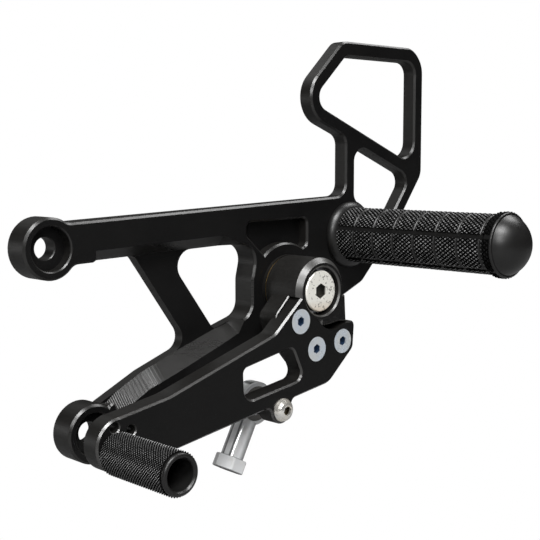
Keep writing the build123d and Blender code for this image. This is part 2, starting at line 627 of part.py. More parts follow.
def parts():
    """Every piece by node name."""
    pieces = {"bracket": bracket(), "foot_peg_grip": foot_peg_grip(), "foot_peg_end_cap": foot_peg_end_cap(),
              "foot_peg_bolt": foot_peg_bolt(), "foot_peg_dowel": foot_peg_dowel(),
              "pivot_bolt": pivot_bolt(), "pivot_head_shim": pivot_head_shim(),
              "pivot_thrust_washer": pivot_thrust_washer(), "bearing_spacer": bearing_spacer(),
              "shift_hub": shift_hub(), "shift_arm": shift_arm(), "shift_arm_screws": shift_arm_screws(),
              "toe_peg": toe_peg(), "toe_peg_bolt": toe_peg_bolt(), "linkage_bolt": linkage_bolt(),
              "linkage_spacer": linkage_spacer(), "linkage_nut": linkage_nut(),
              "linkage_nut_ring": linkage_nut_ring(), "rod_end_ball": rod_end_ball(),
              "rod_end_liner": rod_end_liner(), "rod_end_body": rod_end_body()}
    for side, face_y in BEARING_FACES.items():
        for name, piece in bearing(face_y).items():
            pieces[f"{side}_bearing_{name}"] = piece
    return pieces


os.makedirs("parts", exist_ok=True)
for node, piece in parts().items():
    export_step(piece, f"parts/{node}.step")
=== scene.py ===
import math

import bmesh
import bpy
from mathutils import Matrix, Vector

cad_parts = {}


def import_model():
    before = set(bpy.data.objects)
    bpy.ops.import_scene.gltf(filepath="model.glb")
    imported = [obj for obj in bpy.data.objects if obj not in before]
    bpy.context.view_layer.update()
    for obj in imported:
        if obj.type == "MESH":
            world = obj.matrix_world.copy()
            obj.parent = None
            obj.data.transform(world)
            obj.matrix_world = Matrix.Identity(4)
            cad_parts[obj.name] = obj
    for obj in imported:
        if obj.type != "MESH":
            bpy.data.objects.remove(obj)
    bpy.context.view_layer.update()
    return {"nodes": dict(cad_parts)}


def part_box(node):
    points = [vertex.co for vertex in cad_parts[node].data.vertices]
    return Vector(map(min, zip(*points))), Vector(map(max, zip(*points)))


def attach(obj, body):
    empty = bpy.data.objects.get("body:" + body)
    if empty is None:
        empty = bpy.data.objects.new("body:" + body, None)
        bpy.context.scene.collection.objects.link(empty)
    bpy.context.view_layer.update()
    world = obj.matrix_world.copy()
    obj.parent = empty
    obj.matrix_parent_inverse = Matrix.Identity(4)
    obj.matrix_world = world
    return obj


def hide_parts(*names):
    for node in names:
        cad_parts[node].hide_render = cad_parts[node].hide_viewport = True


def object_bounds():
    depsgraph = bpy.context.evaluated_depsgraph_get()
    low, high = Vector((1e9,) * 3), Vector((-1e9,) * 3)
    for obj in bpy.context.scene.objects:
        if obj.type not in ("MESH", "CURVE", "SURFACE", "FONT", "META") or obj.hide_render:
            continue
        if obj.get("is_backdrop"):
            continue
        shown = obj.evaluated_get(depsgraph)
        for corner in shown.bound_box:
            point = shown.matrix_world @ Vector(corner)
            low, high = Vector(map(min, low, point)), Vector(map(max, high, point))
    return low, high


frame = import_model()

MM = 0.001
FIXED, LEVER = "fixed_bracket", "shift_lever"
ROD_END_LEAN = math.radians(27.9)   # of the rod end's shank, forward from straight down
# In metres along the rod end's shank from the ball's centre.
SEAM_START, COLLAR_START, SHANK_END = 0.025, 0.0262, 0.0326
SCALLOP_PITCH = 0.0017


def centre_of(node):
    lo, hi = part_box(node)
    return (lo + hi) / 2


# ---------------------------------------------------------------- node helpers

class Material:
    """A small wrapper that builds a node tree from short calls."""

    def __init__(self, name):
        self.data = bpy.data.materials.new(name)
        self.data.use_nodes = True
        self.nodes = self.data.node_tree.nodes
        self.links = self.data.node_tree.links
        self.shader = self.nodes["Principled BSDF"]
        coords = self.nodes.new("ShaderNodeTexCoord")
        self.place = coords.outputs["Object"]
        self.facing = coords.outputs["Normal"]

    def link(self, source, target):
        self.links.new(source, target)

    def fill(self, target, value):
        """Link an output, or set a plain value."""
        if isinstance(value, bpy.types.NodeSocket):
            self.link(value, target)
        else:
            target.default_value = value

    def set(self, **inputs):
        for name, value in inputs.items():
            self.fill(self.shader.inputs[name.replace("_", " ")], value)

    def scaled(self, factors, source=None):
        node = self.nodes.new("ShaderNodeVectorMath")
        node.operation = "MULTIPLY"
        self.fill(node.inputs[0], source or self.place)
        node.inputs[1].default_value = factors
        return node.outputs[0]

    def normal_part(self, axis):
        """One component of the surface normal in the object's own frame."""
        split = self.nodes.new("ShaderNodeSeparateXYZ")
        self.link(self.facing, split.inputs[0])
        return split.outputs[axis]

    def place_part(self, axis):
        split = self.nodes.new("ShaderNodeSeparateXYZ")
        self.link(self.place, split.inputs[0])
        return split.outputs[axis]

    def noise(self, scale, detail=3.0, roughness=0.5, source=None):
        node = self.nodes.new("ShaderNodeTexNoise")
        node.inputs["Scale"].default_value = scale
        node.inputs["Detail"].default_value = detail
        node.inputs["Roughness"].default_value = roughness
        self.fill(node.inputs["Vector"], source or self.place)
        return node.outputs["Fac"]

    def ramp(self, fac, *stops):
        """Grey or colour ramp; stops are (position, grey or rgb)."""
        node = self.nodes.new("ShaderNodeValToRGB")
        while len(node.color_ramp.elements) < len(stops):
            node.color_ramp.elements.new(0.5)
        for element, (position, value) in zip(node.color_ramp.elements, stops):
            element.position = position
            colour = (value,) * 3 if isinstance(value, (int, float)) else tuple(value)
            element.color = colour + (1.0,)
        self.link(fac, node.inputs["Fac"])
        return node.outputs["Color"]

    def remap(self, value, low, high, to_low, to_high):
        node = self.nodes.new("ShaderNodeMapRange")
        self.fill(node.inputs["Value"], value)
        for name, number in zip(("From Min", "From Max", "To Min", "To Max"), (low, high, to_low, to_high)):
            node.inputs[name].default_value = number
        return node.outputs["Result"]

    def maths(self, operation, a, b=0.0):
        node = self.nodes.new("ShaderNodeMath")
        node.operation = operation
        self.fill(node.inputs[0], a)
        self.fill(node.inputs[1], b)
        return node.outputs[0]

    def mix(self, fac, a, b):
        node = self.nodes.new("ShaderNodeMix")
        node.data_type = "RGBA"
        self.fill(node.inputs["Factor"], fac)
        for socket, value in ((node.inputs[6], a), (node.inputs[7], b)):
            if isinstance(value, tuple) and len(value) == 3:
                value = value + (1.0,)
            self.fill(socket, value)
        return node.outputs[2]

    def bump(self, height, strength, distance, under=None):
        node = self.nodes.new("ShaderNodeBump")
        self.fill(node.inputs["Strength"], strength)
        node.inputs["Distance"].default_value = distance
        self.link(height, node.inputs["Height"])
        if under is not None:
            self.link(under, node.inputs["Normal"])
        return node.outputs["Normal"]

    def radius_about(self, x, z):
        """Distance in metres from a line along Y."""
        shift = self.nodes.new("ShaderNodeVectorMath")
        shift.operation = "SUBTRACT"
        self.link(self.place, shift.inputs[0])
        shift.inputs[1].default_value = (x, 0, z)
        flat = self.scaled((1, 0, 1), shift.outputs[0])
        length = self.nodes.new("ShaderNodeVectorMath")
        length.operation = "LENGTH"
        self.link(flat, length.inputs[0])
        return length.outputs["Value"]

    def combine(self, radius, scale=5200.0):
        """A coordinate that changes with the radius alone, for turning rings."""
        node = self.nodes.new("ShaderNodeCombineXYZ")
        self.fill(node.inputs[0], self.maths("MULTIPLY", radius, scale))
        return node.outputs[0]


# ---------------------------------------------------------------- materials

def black_anodised(name, rough=0.34, grain=(220, 220, 1400), side=(0.008, 0.0076, 0.0070),
                   edge_sheen_grey=(0.036, 0.035, 0.034), glint=0.7, scallops=False, worn_from=0.70):
    """Satin black anodised billet. Faces square to Y are fly cut and darkest, side walls are
    end milled and greyer, and the chamfered edges between them are mixed to a lighter grey, a
    painted highlight that stands in for their sheen. side and edge_sheen_grey are the greys of the
    walls and of that painted edge highlight, glint is the edges' shine, and
    a lower worn_from leaves more pale specks."""
    m = Material(name)
    facing = m.maths("ABSOLUTE", m.normal_part("Y"))
    flat = m.remap(facing, 0.93, 0.99, 0.0, 1.0)
    wall = m.remap(facing, 0.10, 0.30, 1.0, 0.0)
    edge = m.maths("SUBTRACT", 1.0, m.maths("MAXIMUM", flat, wall))
    cloud = m.noise(38, 4, 0.6)
    mill = m.noise(1.0, 3, 0.6, m.scaled(grain))
    passes = m.noise(1.0, 2, 0.55, m.scaled((1500, 90, 1500)))
    specks = m.ramp(m.noise(2600, 1, 0.4), (worn_from, 0.0), (worn_from + 0.08, 1.0))
    face = m.mix(cloud, (0.0035, 0.0035, 0.0037), (0.0070, 0.0068, 0.0066))
    walls = m.mix(passes, tuple(0.6 * c for c in side), tuple(1.5 * c for c in side))
    # Painted highlight: the chamfered edges are mixed to a lighter grey that stands in for their sheen.
    colour = m.mix(edge, m.mix(wall, face, walls), edge_sheen_grey)
    colour = m.mix(m.maths("MULTIPLY", specks, 0.25), colour, (0.06, 0.058, 0.055))
    blend = m.maths("ADD", m.maths("MULTIPLY", cloud, 0.6), m.maths("MULTIPLY", mill, 0.4))
    satin = m.remap(blend, 0.3, 0.7, rough - 0.04, rough + 0.08)
    roughness = m.maths("ADD", m.maths("SUBTRACT", satin, m.maths("MULTIPLY", edge, 0.06)),
                        m.maths("MULTIPLY", wall, 0.10))
    fine = m.bump(mill, 0.04, 0.00004)
    milled = m.bump(passes, m.maths("MULTIPLY", wall, 0.35), 0.00006, fine)
    if scallops:
        milled = m.bump(*scallop_lines(m, edge), milled)
    normal = m.bump(m.noise(1800, 2, 0.6), 0.08, 0.00003, milled)
    shine = m.maths("ADD", m.maths("MULTIPLY", edge, glint), m.remap(flat, 0, 1, 0.22, 0.15))
    m.set(Base_Color=colour, Roughness=roughness, Normal=normal, Specular_IOR_Level=shine,
          Metallic=m.maths("MULTIPLY", edge, 0.3 * glint))
    return m.data


def scallop_lines(m, edge):
    """Ball cutter passes left across the bevel of the lower arm, close to its boss."""
    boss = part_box("toe_peg")[1]
    reach = m.maths("MULTIPLY", m.remap(m.place_part("X"), boss.x + 0.004, boss.x + 0.006, 0.0, 1.0),
                    m.remap(m.place_part("X"), boss.x + 0.026, boss.x + 0.034, 1.0, 0.0))
    low = m.remap(m.place_part("Z"), -0.050, -0.054, 0.0, 1.0)
    wave = m.maths("SINE", m.maths("MULTIPLY", m.place_part("X"), math.tau / SCALLOP_PITCH))
    strength = m.maths("MULTIPLY", m.maths("MULTIPLY", edge, low), reach)
    return m.remap(wave, -1, 1, 0.0, 1.0), m.maths("MULTIPLY", strength, 0.9), 0.00025


def knurled_black(name, x, z, valley, top, tips=(0.024, 0.24), flare=None):
    """Black knurl about a line along Y, matt in the valleys and polished on the worn tops.
    The tops' lighter grey is partly bare metal from wear and partly painted glints.
    tips are the darkest and brightest grey of the tops;
    flare gives where the outer rim starts and ends in y, and the extra radius left unworn."""
    m = Material(name)
    radius = m.radius_about(x, z)
    if flare is not None:
        start, stop, rise = flare
        radius = m.maths("SUBTRACT", radius, m.remap(m.place_part("Y"), start, stop, 0.0, rise))
    worn = m.remap(radius, valley + (top - valley) * 0.80, top, 0.0, 1.0)
    cloud = m.noise(420, 3, 0.6)
    # Painted glints: a random mask sets each worn top between the darkest and the brightest grey, standing
    # in for sparkling highlights.
    painted_glints = m.ramp(m.noise(700, 2, 0.6), (0.42, 0.0), (0.62, 1.0))
    colour = m.mix(worn, (0.0025, 0.0025, 0.0025), m.mix(painted_glints, (tips[0],) * 3, (tips[1],) * 3))
    roughness = m.remap(m.maths("SUBTRACT", worn, m.maths("MULTIPLY", cloud, 0.4)), 0.0, 1.0, 0.6, 0.26)
    m.set(Base_Color=colour, Roughness=roughness, Specular_IOR_Level=m.remap(worn, 0, 1, 0.05, 1.0),
          Normal=m.bump(m.noise(2400, 2, 0.6), 0.2, 0.00004))
    return m.data


def turned_black(name, x, z):
    """Black anodised turned part with faint lathe rings about a line along Y."""
    m = Material(name)
    radius = m.radius_about(x, z)
    rings = m.noise(1.0, 2, 0.7, m.scaled((0, 9000, 0)))
    cloud = m.noise(70, 3, 0.6)
    colour = m.mix(cloud, (0.005, 0.005, 0.005), (0.009, 0.0087, 0.0083))
    roughness = m.remap(m.maths("ADD", m.maths("MULTIPLY", rings, 0.4), m.maths("MULTIPLY", cloud, 0.6)),
                        0.3, 0.7, 0.30, 0.42)
    face = m.bump(m.noise(1.0, 1, 0.5, m.combine(radius)), 0.05, 0.00003)
    m.set(Base_Color=colour, Roughness=roughness, Normal=m.bump(rings, 0.08, 0.00003, face),
          Specular_IOR_Level=0.42)
    return m.data


def zinc(name, tint=(0.80, 0.84, 0.90), rough=0.24, metal=0.8, recess=None,
         socket_shade_tint=(0.05, 0.10, 0.20), socket_r=None):
    """Bright zinc plate with a cloudy passivation and fine scratches. Inboard of the plane
    y = recess, inside a socket, it is mixed to a dark tint, a painted shade. socket_r keeps that
    painted shade to the linkage bolt's socket, whose head stands proud of the plane."""
    m = Material(name)
    cloud = m.noise(150, 2, 0.5)
    scratch = m.noise(1.0, 2, 0.6, m.scaled((3000, 300, 900)))
    warm = (min(1.0, tint[0] * 1.06), tint[1], tint[2] * 0.9)
    colour = m.mix(m.ramp(cloud, (0.35, 0.0), (0.7, 1.0)), tint, warm)
    # Painted shade: inboard of the plane the colour is mixed to a dark tint.
    if recess is not None:
        depth = m.remap(m.place_part("Y"), recess, recess + 0.0005, 0.0, 1.0)
        if socket_r is not None:
            bolt = centre_of("linkage_bolt")
            inside = m.remap(m.radius_about(bolt.x, bolt.z), socket_r, socket_r + 0.0002, 1.0, 0.0)
            depth = m.maths("MULTIPLY", depth, inside)
        colour = m.mix(depth, colour, m.mix(cloud, socket_shade_tint, tuple(0.3 * c for c in socket_shade_tint)))
    roughness = m.remap(cloud, 0.3, 0.7, rough - 0.06, rough + 0.14)
    m.set(Base_Color=colour, Metallic=metal, Roughness=roughness,
          Normal=m.bump(scratch, 0.08, 0.00002, m.bump(cloud, 0.06, 0.00004)))
    return m.data


def rod_end_zinc():
    """Bright zinc of the rod end, with painted reflections: light and dark bands down the shank and collar,
    set by which way each face points, painted dark lines where the collar starts and just before the end,
    and a painted shade on the end face that faces down.
    """
    m = Material("rod_end_zinc")
    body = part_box("rod_end_body")
    centre = centre_of("rod_end_ball")
    cloud = m.noise(260, 3, 0.6)
    # Painted reflections: the grey follows which way each face points, in light and dark bands.
    leaning = m.maths("SUBTRACT", m.maths("MULTIPLY", m.normal_part("X"), 0.73),
                      m.maths("MULTIPLY", m.normal_part("Y"), 0.68))
    around = m.remap(leaning, -1, 1, 0.0, 1.0)
    painted_reflections = m.ramp(around, (0.02, 0.10), (0.07, 0.85), (0.13, 0.30), (0.15, 0.05), (0.18, 1.0),
                     (0.36, 1.0), (0.39, 0.20), (0.45, 0.30), (0.48, 1.0), (0.80, 1.0), (0.92, 0.45),
                     (0.98, 0.2))
    down_x, down_z = -math.sin(ROD_END_LEAN), -math.cos(ROD_END_LEAN)
    start = centre.x * down_x + centre.z * down_z
    along = m.maths("ADD", m.maths("MULTIPLY", m.place_part("X"), down_x),
                    m.maths("MULTIPLY", m.place_part("Z"), down_z))
    collar = m.remap(along, start + COLLAR_START, start + COLLAR_START + 0.0003, 0.0, 1.0)
    painted_reflections = m.mix(collar, painted_reflections, m.ramp(around, (0.05, 0.5), (0.2, 1.0), (0.6, 0.95), (0.9, 0.7)))
    # Painted shade: dark lines where the collar starts and just before the end.
    painted_edge_shade = m.ramp(m.remap(along, start + SEAM_START, start + SHANK_END, 0.0, 1.0),
                   (0.13, 1.0), (0.17, 0.30), (0.21, 1.0), (0.90, 1.0), (0.96, 0.12))
    painted_reflections = m.maths("MULTIPLY", painted_reflections, painted_edge_shade)
    colour = m.mix(painted_reflections, (0.03, 0.035, 0.04), (0.98, 0.99, 1.0))
    stains = m.maths("MULTIPLY", m.ramp(cloud, (0.5, 0.0), (0.75, 1.0)), 0.35)
    colour = m.mix(stains, colour, (0.70, 0.67, 0.60))
    # Painted shade: the end face that faces down is mixed to a near black.
    under = m.remap(m.normal_part("Z"), -0.75, -0.85, 0.0, 1.0)
    low = m.remap(m.place_part("Z"), body[0].z + 0.0085, body[0].z + 0.0075, 0.0, 1.0)
    painted_end_shade = m.mix(cloud, (0.05, 0.045, 0.04), (0.015, 0.014, 0.013))
    colour = m.mix(m.maths("MULTIPLY", under, low), colour, painted_end_shade)
    m.set(Base_Color=colour, Metallic=0.12, Roughness=m.remap(cloud, 0.3, 0.7, 0.10, 0.22),
          Normal=m.bump(cloud, 0.06, 0.00004))
    return m.data


def stainless():
    """Machined stainless pivot bolt: creamy face with turning rings and dark specks, a painted shade
    that turns the head browner and darker towards its bottom, and a socket painted dark as shade.
    """
    m = Material("stainless")
    centre = centre_of("pivot_bolt")
    radius = m.radius_about(centre.x, centre.z)
    rings = m.noise(1.0, 2, 0.6, m.combine(radius, 7000.0))
    cloud = m.noise(300, 4, 0.6)
    spots = m.ramp(m.noise(900, 2, 0.5), (0.60, 0.0), (0.66, 1.0))
    base = m.mix(cloud, (0.95, 0.94, 0.88), (0.84, 0.82, 0.75))
    # Painted shade: the head turns browner and darker towards its bottom.
    low = m.remap(m.place_part("Z"), centre.z - 0.004, centre.z - 0.0095, 0.0, 0.55)
    base = m.mix(low, base, (0.62, 0.45, 0.28))
    colour = m.mix(m.maths("MULTIPLY", spots, 0.8), base, (0.10, 0.09, 0.08))
    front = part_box("pivot_bolt")[0].y
    # Painted shade: inside the socket the colour is mixed to a near black.
    depth = m.remap(m.place_part("Y"), front + 0.0003, front + 0.0009, 0.0, 1.0)
    colour = m.mix(depth, colour, m.mix(cloud, (0.05, 0.047, 0.04), (0.015, 0.014, 0.012)))
    roughness = m.remap(cloud, 0.3, 0.7, 0.34, 0.5)
    m.set(Base_Color=colour, Metallic=0.35, Roughness=roughness,
          Normal=m.bump(rings, 0.10, 0.00005, m.bump(cloud, 0.15, 0.0001)))
    return m.data


def bronze():
    """Thrust washer bronze, slightly cloudy."""
    m = Material("bronze")
    cloud = m.noise(400, 3, 0.6)
    m.set(Base_Color=m.mix(cloud, (0.72, 0.50, 0.20), (0.50, 0.34, 0.14)), Metallic=1.0,
          Roughness=m.remap(cloud, 0.3, 0.7, 0.25, 0.45), Normal=m.bump(cloud, 0.1, 0.00005))
    return m.data


def steel():
    """Ground bearing steel."""
    m = Material("bearing_steel")
    grind = m.noise(1.0, 2, 0.6, m.scaled((300, 6000, 300)))
    m.set(Base_Color=m.mix(grind, (0.62, 0.62, 0.64), (0.50, 0.50, 0.52)), Metallic=1.0,
          Roughness=m.remap(grind, 0.3, 0.7, 0.18, 0.32), Normal=m.bump(grind, 0.08, 0.00003))
    return m.data


def plastic(name, colour, rough):
    """Moulded plastic or rubber with a fine grain."""
    m = Material(name)
    cloud = m.noise(600, 3, 0.6)
    dark = tuple(0.7 * c for c in colour)
    m.set(Base_Color=m.mix(cloud, colour, dark),
          Roughness=m.remap(cloud, 0.3, 0.7, rough - 0.08, rough + 0.1),
          Normal=m.bump(m.noise(2500, 2, 0.5), 0.1, 0.00004))
    return m.data


def dress(node, material):
    """Give a CAD node a new material without touching its mesh."""
    for slot in frame["nodes"][node].material_slots:
        slot.link = "OBJECT"
        slot.material = material


# ---------------------------------------------------------------- meshes

class Builder:
    """Collects vertices and faces of one piece, in millimetres."""

    def __init__(self):
        self.vertices = []
        self.faces = []

    def vertex(self, x, y, z):
        self.vertices.append((x * MM, y * MM, z * MM))
        return len(self.vertices) - 1

    def ring(self, axis, radius, y, count):
        points = []
        for k in range(count):
            angle = math.tau * k / count
            x = axis[0] + radius * math.cos(angle)
            points.append(self.vertex(x, y, axis[1] + radius * math.sin(angle)))
        return points

    def bridge(self, first, second):
        count = len(first)
        for k in range(count):
            after = (k + 1) % count
            self.faces.append((first[k], first[after], second[after], second[k]))

    def lathe(self, axis, profile, count):
        """Surface of revolution of (radius, y) points; the profile is a closed loop."""
        rings = [self.ring(axis, radius, y, count) for radius, y in profile]
        for first, second in zip(rings, rings[1:]):
            self.bridge(first, second)
        self.bridge(rings[-1], rings[0])

    def finish(self, name, material, body, smooth_angle):
        mesh = bpy.data.meshes.new(name)
        mesh.from_pydata(self.vertices, [], self.faces)
        mesh.validate()
        obj = bpy.data.objects.new(name, mesh)
        bpy.context.scene.collection.objects.link(obj)
        mesh.materials.append(material)
        fix_normals(mesh)
        mesh.shade_smooth()
        bpy.context.view_layer.objects.active = obj
        mesh.set_sharp_from_angle(angle=math.radians(smooth_angle))
        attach(obj, body)
        return obj


def fix_normals(mesh):
    work = bmesh.new()
    work.from_mesh(mesh)
    bmesh.ops.recalc_face_normals(work, faces=work.faces)
    work.to_mesh(mesh)
    work.free()


def knurl_pad(builder, axis, angles, columns, ends, rows, top_radius, depth, base_radius, flat):
    """A closed pad of pointed diamonds between two angles and two y values.
    columns and rows count half diamonds; top_radius is a function of y, and flat is the
    share of each diamond left as its top."""
    start, stop = angles
    y0, y1 = ends
    wraps = abs(stop - start - math.tau) < 1e-6
    width = columns if wraps else columns + 1

    def at(m, n, drop):
        angle = start + (stop - start) * m / columns
        y = y0 + (y1 - y0) * n / rows
        radius = top_radius(y) - drop
        return builder.vertex(axis[0] + radius * math.cos(angle), y, axis[1] + radius * math.sin(angle))

    valley = {}
    for m in range(width):
        for n in range(rows + 1):
            if (m + n) % 2 == 0:
                valley[m, n] = at(m, n, depth)

    def corner(m, n):
        if wraps:
            m = m % columns
        return valley.get((m, n)) if 0 <= n <= rows and 0 <= m < width else None

    edges = {}
    for m in range(width):
        for n in range(rows + 1):
            if (m + n) % 2 == 0:
                continue
            around = [(m - 1, n), (m, n + 1), (m + 1, n), (m, n - 1)]
            tops = []
            for p, q in around:
                if corner(p, q) is None:
                    tops.append(None)
                else:
                    tops.append(at(m + (p - m) * flat, n + (q - n) * flat, 0))
            for k in range(4):
                after = (k + 1) % 4
                if tops[k] is not None and tops[after] is not None:
                    builder.faces.append((corner(*around[k]), corner(*around[after]), tops[after], tops[k]))
            present = [t for t in tops if t is not None]
            if len(present) >= 3:
                builder.faces.append(tuple(present))
                if None in tops:
                    gap = tops.index(None)
                    first, second = (gap - 1) % 4, (gap + 1) % 4
                    edges[m, n] = [corner(*around[first]), tops[first], tops[second],
                                   corner(*around[second])]
            elif len(present) == 2:
                apex = at(m, n, 0)
                first = next(k for k in range(4) if tops[k] is not None and tops[(k + 1) % 4] is not None)
                second = (first + 1) % 4
                builder.faces.append((tops[first], tops[second], apex))
                edges[m, n] = [corner(*around[first]), tops[first], apex, tops[second],
                               corner(*around[second])]
    skirt(builder, axis, edges, base_radius)


def skirt(builder, axis, edges, base_radius):
    """Walls from the cut edge of a pad down to the core."""
    feet = {}

    def foot(index):
        if index not in feet:
            x, y, z = builder.vertices[index]
            dx, dz = x / MM - axis[0], z / MM - axis[1]
            scale = base_radius / math.hypot(dx, dz)
            feet[index] = builder.vertex(axis[0] + dx * scale, y / MM, axis[1] + dz * scale)
        return feet[index]

    for chain in edges.values():
        for first, second in zip(chain, chain[1:]):
            builder.faces.append((first, second, foot(second), foot(first)))


def ring_walls(builder, axis, angles, y, profile, segments=18):
    """Rounded floor and walls of a ring groove between two angles; profile is (radius, y offset)."""
    strips = []
    for radius, offset in profile:
        line = []
        for k in range(segments + 1):
            angle = angles[0] + (angles[1] - angles[0]) * k / segments
            line.append(builder.vertex(axis[0] + radius * math.cos(angle), y + offset,
                                       axis[1] + radius * math.sin(angle)))
        strips.append(line)
    for first, second in zip(strips, strips[1:]):
        for k in range(segments):
            builder.faces.append((first[k], first[k + 1], second[k + 1], second[k]))


# ---------------------------------------------------------------- foot peg

PEG_RING_FIRST, PEG_RING_PITCH, PEG_RING_WIDTH, PEG_RINGS = -27.1, 12.2, 1.7, 7
PEG_TREAD_START, PEG_FLARE, PEG_RIM, PEG_END = -16.4, -101.4, -103.0, -107.0
PEG_R, PEG_RIM_R, PEG_CORE_R, PEG_KNURL_DEPTH = 13.5, 14.7, 12.75, 0.55
PEG_RING_SECTION = [(13.42, 0.86), (13.2, 0.72), (12.98, 0.5), (12.85, 0.2), (12.82, -0.1), (12.9, -0.4),
                    (13.1, -0.68), (13.35, -0.86)]
PEG_SLOTS, PEG_SLOT_ANGLE, PEG_SLOT_WIDTH = 5, math.radians(162), 2.4
PEG_DIAMOND, PEG_PAD_COLUMNS, PEG_DIAMOND_FLAT = 2.6, 16, 0.36
PEG_SEGMENTS, PEG_WEAR = 128, 0.05


def peg_axis():
    low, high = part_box("foot_peg_end_cap")
    return (low.x + high.x) / 2 / MM, (low.z + high.z) / 2 / MM


def peg_top(y):
    """Radius over the treads, which swells into the outer rim."""
    if y > PEG_FLARE:
        return PEG_R
    share = min(1.0, (PEG_FLARE - y) / (PEG_FLARE - PEG_RIM))
    return PEG_R + (PEG_RIM_R - PEG_R) * math.sin(share * math.pi / 2)


def foot_peg(tread_material, core_material):
    """The turned core with its flange, ring grooves and dished end, and the knurled pads that
    five long slots and seven rings divide."""
    axis = peg_axis()
    core = Builder()
    flange = [(5.0, -12.0), (15.6, -12.0), (16.05, -12.2), (16.2, -12.6), (16.15, -13.2), (15.9, -13.9),
              (15.4, -14.6), (14.7, -15.3), (13.9, -15.9), (13.2, -16.2), (PEG_CORE_R, -16.35)]
    end = [(PEG_CORE_R, PEG_FLARE), (PEG_CORE_R + 1.1, PEG_RIM + 0.3), (PEG_CORE_R + 1.1, PEG_END + 1.2),
           (14.4, PEG_END + 1.0), (14.3, PEG_END + 0.4), (13.95, PEG_END + 0.05), (13.6, PEG_END),
           (13.35, PEG_END + 0.3), (8.3, PEG_END + 0.3), (5.0, PEG_END + 4)]
    core.lathe(axis, flange + end, PEG_SEGMENTS)
    cuts = [PEG_RING_FIRST - k * PEG_RING_PITCH for k in range(PEG_RINGS)]
    slot = PEG_SLOT_WIDTH / PEG_R
    spans = []
    for number in range(PEG_SLOTS):
        first = PEG_SLOT_ANGLE + number * math.tau / PEG_SLOTS + slot / 2
        spans.append((first, first + math.tau / PEG_SLOTS - slot))
    for span in spans:
        for y in cuts:
            ring_walls(core, axis, span, y, PEG_RING_SECTION)
    core_piece = core.finish("foot_peg_core", core_material, FIXED, 40)
    treads = Builder()
    half = PEG_RING_WIDTH / 2
    starts = [PEG_TREAD_START] + [y - half for y in cuts]
    stops = [y + half for y in cuts] + [PEG_END + 1.0]
    for span in spans:
        for start, stop in zip(starts, stops):
            rows = 2 * max(2, round((start - stop) / PEG_DIAMOND))
            knurl_pad(treads, axis, span, PEG_PAD_COLUMNS, (start, stop), rows, peg_top,
                      PEG_KNURL_DEPTH, PEG_CORE_R - 0.15, PEG_DIAMOND_FLAT)
    tread_piece = treads.finish("foot_peg_treads", tread_material, FIXED, 20)
    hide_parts("foot_peg_grip")
    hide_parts("foot_peg_grip")


# ---------------------------------------------------------------- toe peg

TOE_R, TOE_FRONT, TOE_KNURL_END, TOE_END = 8.75, -36.0, -74.1, -75.9
TOE_CORE_R, TOE_KNURL_DEPTH, TOE_DIAMOND_FLAT = 8.0, 0.5, 0.3
TOE_COLUMNS, TOE_ROWS, TOE_SEGMENTS = 80, 54, 96
TOE_WEAR = 0.05


def toe_peg(knurl_material, ring_material):
    """The turned body with its open end, and the one knurl that runs all the way round it."""
    low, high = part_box("toe_peg")
    axis = ((low.x + high.x) / 2 / MM, (low.z + high.z) / 2 / MM)
    body = Builder()
    outside = [(3.1, TOE_FRONT), (TOE_CORE_R, TOE_FRONT), (8.2, TOE_FRONT - 0.3), (8.15, TOE_KNURL_END),
               (8.12, TOE_KNURL_END), (8.2, TOE_KNURL_END - 0.15), (8.2, TOE_END + 0.9),
               (8.05, TOE_END + 0.55), (7.4, TOE_END + 0.05), (7.2, TOE_END)]
    bore = [(6.75, TOE_END), (6.1, TOE_END + 0.65), (6.0, TOE_END + 0.9), (6.0, -48.0), (3.1, -48.4)]
    body.lathe(axis, outside + bore, TOE_SEGMENTS)
    shell = body.finish("toe_peg_body", ring_material, LEVER, 40)
    teeth = Builder()
    knurl_pad(teeth, axis, (0, math.tau), TOE_COLUMNS, (TOE_FRONT - 0.4, TOE_KNURL_END + 0.05),
              TOE_ROWS, lambda y: TOE_R, TOE_KNURL_DEPTH, TOE_CORE_R, TOE_DIAMOND_FLAT)
    knurl = teeth.finish("toe_peg_knurl", knurl_material, LEVER, 20)
    for piece in (shell, knurl):
        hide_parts("toe_peg")


# ---------------------------------------------------------------- stage

FLOOR_DROP, FLOOR_REACH = 0.02, 6.0
CAMERA_PLACE = (-0.224, -0.377, 0.0353)
CAMERA_TILT, CAMERA_HEADING = math.radians(84.1), math.radians(-43.0)
CAMERA_LENS, CAMERA_SENSOR = 72.0, 36.0
WORLD_LIGHT = 0.025
LIGHT_AIM = (0.09, -0.03, 0.0)


def area(name, place, target, size, power):
    """A rectangular soft box that faces the target; size in metres, power in watts."""
    light = bpy.data.lights.new(name, "AREA")
    light.shape = "RECTANGLE"
    light.size, light.size_y = size
    light.energy = power
    obj = bpy.data.objects.new(name, light)
    bpy.context.scene.collection.objects.link(obj)
    obj.location = place
    obj.rotation_euler = (Vector(target) - Vector(place)).to_track_quat("-Z", "Y").to_euler()


